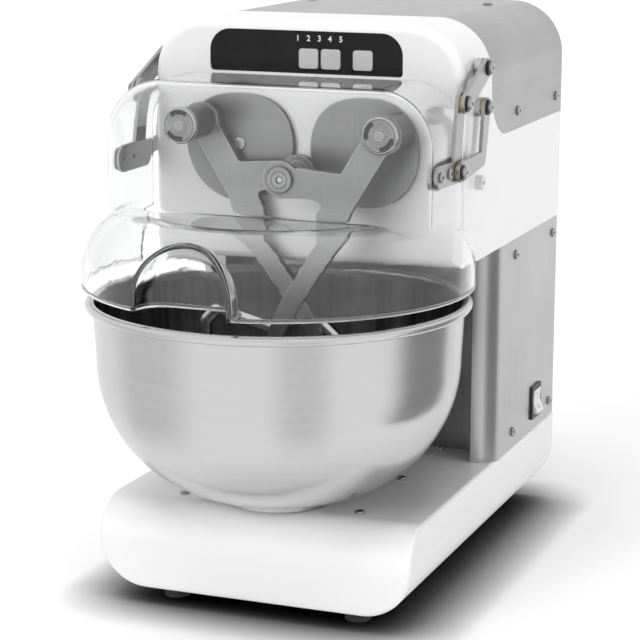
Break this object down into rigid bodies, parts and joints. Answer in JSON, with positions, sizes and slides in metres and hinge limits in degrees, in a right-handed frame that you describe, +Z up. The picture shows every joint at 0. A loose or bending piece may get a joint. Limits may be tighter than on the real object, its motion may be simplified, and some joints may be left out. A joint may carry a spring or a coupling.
{
  "type": "double-arm dough mixer",
  "caption": "Bench-top dough mixer: mirrored crank-driven arms knead in a turning steel bowl under a clear lid that lifts on links.",
  "frame": {"origin": "on the floor under the middle of the whole outline", "axes": "+X to the machine's right seen from the front, +Y to the back, +Z up"},
  "size_m": [0.316, 0.5126, 0.4722],
  "materials": {
    "white_paint": "gloss white paint",
    "brushed_steel": "brushed",
    "polished_steel": "polished",
    "clear": "clear polished",
    "black_plastic": "gloss",
    "white_plastic": "satin",
    "grey_plastic": "satin",
    "rubber": "matt",
    "screw_steel": "plain",
    "machined_steel": "machined",
    "brass": "plain",
    "aluminium": "machined",
    "board": "satin"
  },
  "bodies": {
    "machine": {"base_shell": "white_paint", "base_plate": "brushed_steel", "feet": "rubber", "base_screws": "screw_steel", "bowl_bearing": "brass", "column_frame": "aluminium", "column_wrap": "brushed_steel", "column_front_plate": "brushed_steel", "case_screws": "screw_steel", "switch_frame": "black_plastic", "power_inlet": "black_plastic", "head_shell": "white_paint", "head_cover": "brushed_steel", "head_back_panel": "brushed_steel", "control_panel": "black_plastic", "control_board": "board", "front_bearing_plate": "aluminium", "rear_bearing_plate": "aluminium", "crank_bearings": "machined_steel", "motor": "aluminium", "link_standoffs": "white_plastic", "head_pivot_screws": "screw_steel", "head_pivot_washers": "brass"},
    "bowl": {"turntable": "machined_steel", "bowl": "polished_steel"},
    "switch_rocker": {"switch_rocker": "white_plastic"},
    "button_1": {"button_1": "grey_plastic"},
    "button_2": {"button_2": "grey_plastic"},
    "button_3": {"button_3": "grey_plastic"},
    "left_crank": {"left_crank_shaft": "machined_steel", "left_gear": "machined_steel", "drive_gear": "machined_steel", "left_crank_disc": "brushed_steel", "left_crank_pin": "machined_steel", "left_disc_screw": "screw_steel"},
    "right_crank": {"right_crank_shaft": "machined_steel", "right_gear": "machined_steel", "right_crank_disc": "brushed_steel", "right_crank_pin": "machined_steel", "right_disc_screw": "screw_steel"},
    "motor_pinion": {"motor_pinion": "machined_steel"},
    "left_arm": {"left_arm": "brushed_steel", "left_arm_bush": "brass", "pivot_bearing": "brass"},
    "right_arm": {"right_arm": "brushed_steel", "right_arm_bush": "brass", "pivot_pin": "screw_steel"},
    "left_lock_knob": {"left_lock_knob": "brushed_steel"},
    "right_lock_knob": {"right_lock_knob": "brushed_steel"},
    "upper_links": {"upper_links": "brushed_steel"},
    "lid": {"lid": "clear", "lid_brackets": "brushed_steel", "lid_clamp_plates": "brushed_steel", "lid_screws": "screw_steel", "lid_pivot_screws": "screw_steel", "lid_pivot_washers": "brass"},
    "lower_links": {"lower_links": "brushed_steel", "lower_pivot_screws": "screw_steel", "lower_pivot_washers": "brass"}
  },
  "joints": [
    {"name": "bowl_turn", "type": "hinge", "parent": "machine", "child": "bowl", "pos_m": [0, -0.09987, 0.085], "axis": [0, 0, 1], "continuous": true},
    {"name": "rocker_tilt", "type": "hinge", "parent": "machine", "child": "switch_rocker", "pos_m": [0.135, 0.18813, 0.111], "axis": [0, 1, 0], "range_deg": [0, 16]},
    {"name": "left_crank_turn", "type": "hinge", "parent": "machine", "child": "left_crank", "pos_m": [-0.055, -0.04987, 0.3683], "axis": [0, 1, 0], "continuous": true},
    {"name": "right_crank_turn", "type": "hinge", "parent": "machine", "child": "right_crank", "pos_m": [0.055, -0.04987, 0.3683], "axis": [0, 1, 0], "continuous": true},
    {"name": "pinion_turn", "type": "hinge", "parent": "machine", "child": "motor_pinion", "pos_m": [0, 0.00613, 0.4264], "axis": [0, 1, 0], "continuous": true},
    {"name": "left_arm_turn", "type": "hinge", "parent": "left_crank", "child": "left_arm", "pos_m": [-0.08553, -0.07387, 0.38738], "axis": [0, 1, 0], "continuous": true},
    {"name": "right_arm_turn", "type": "hinge", "parent": "right_crank", "child": "right_arm", "pos_m": [0.08553, -0.07387, 0.38738], "axis": [0, 1, 0], "continuous": true},
    {"name": "left_knob_turn", "type": "hinge", "parent": "left_arm", "child": "left_lock_knob", "pos_m": [-0.08553, -0.09887, 0.38738], "axis": [0, 1, 0], "range_deg": [0, 90]},
    {"name": "right_knob_turn", "type": "hinge", "parent": "right_arm", "child": "right_lock_knob", "pos_m": [0.08553, -0.09887, 0.38738], "axis": [0, 1, 0], "range_deg": [0, 90]},
    {"name": "upper_link_swing", "type": "hinge", "parent": "machine", "child": "upper_links", "pos_m": [0, -0.00787, 0.434], "axis": [-1, 0, 0], "range_deg": [0, 95]},
    {"name": "lid_swing", "type": "hinge", "parent": "upper_links", "child": "lid", "pos_m": [0, -0.06287, 0.411], "axis": [-1, 0, 0], "range_deg": [-60, 0]},
    {"name": "lower_link_swing", "type": "hinge", "parent": "machine", "child": "lower_links", "pos_m": [0, -0.00787, 0.4024], "axis": [-1, 0, 0], "range_deg": [0, 82]},
    {"name": "button_1_press", "type": "slide", "parent": "machine", "child": "button_1", "axis": [0, 1, 0], "range_m": [0, 0.0015], "stiffness_N_per_m": 400},
    {"name": "button_2_press", "type": "slide", "parent": "machine", "child": "button_2", "axis": [0, 1, 0], "range_m": [0, 0.0015], "stiffness_N_per_m": 400},
    {"name": "button_3_press", "type": "slide", "parent": "machine", "child": "button_3", "axis": [0, 1, 0], "range_m": [0, 0.0015], "stiffness_N_per_m": 400}
  ],
  "couplings": [
    {"joint": "right_crank_turn", "follows": "left_crank_turn", "ratio": -1},
    {"joint": "pinion_turn", "follows": "left_crank_turn", "ratio": -3},
    {"joint": "left_arm_turn", "follows": "left_crank_turn", "ratio": -1},
    {"joint": "right_arm_turn", "follows": "left_crank_turn", "ratio": 1},
    {"joint": "lid_swing", "follows": "upper_link_swing", "ratio": -0.63},
    {"joint": "lower_link_swing", "follows": "upper_link_swing", "ratio": 0.86}
  ]
}
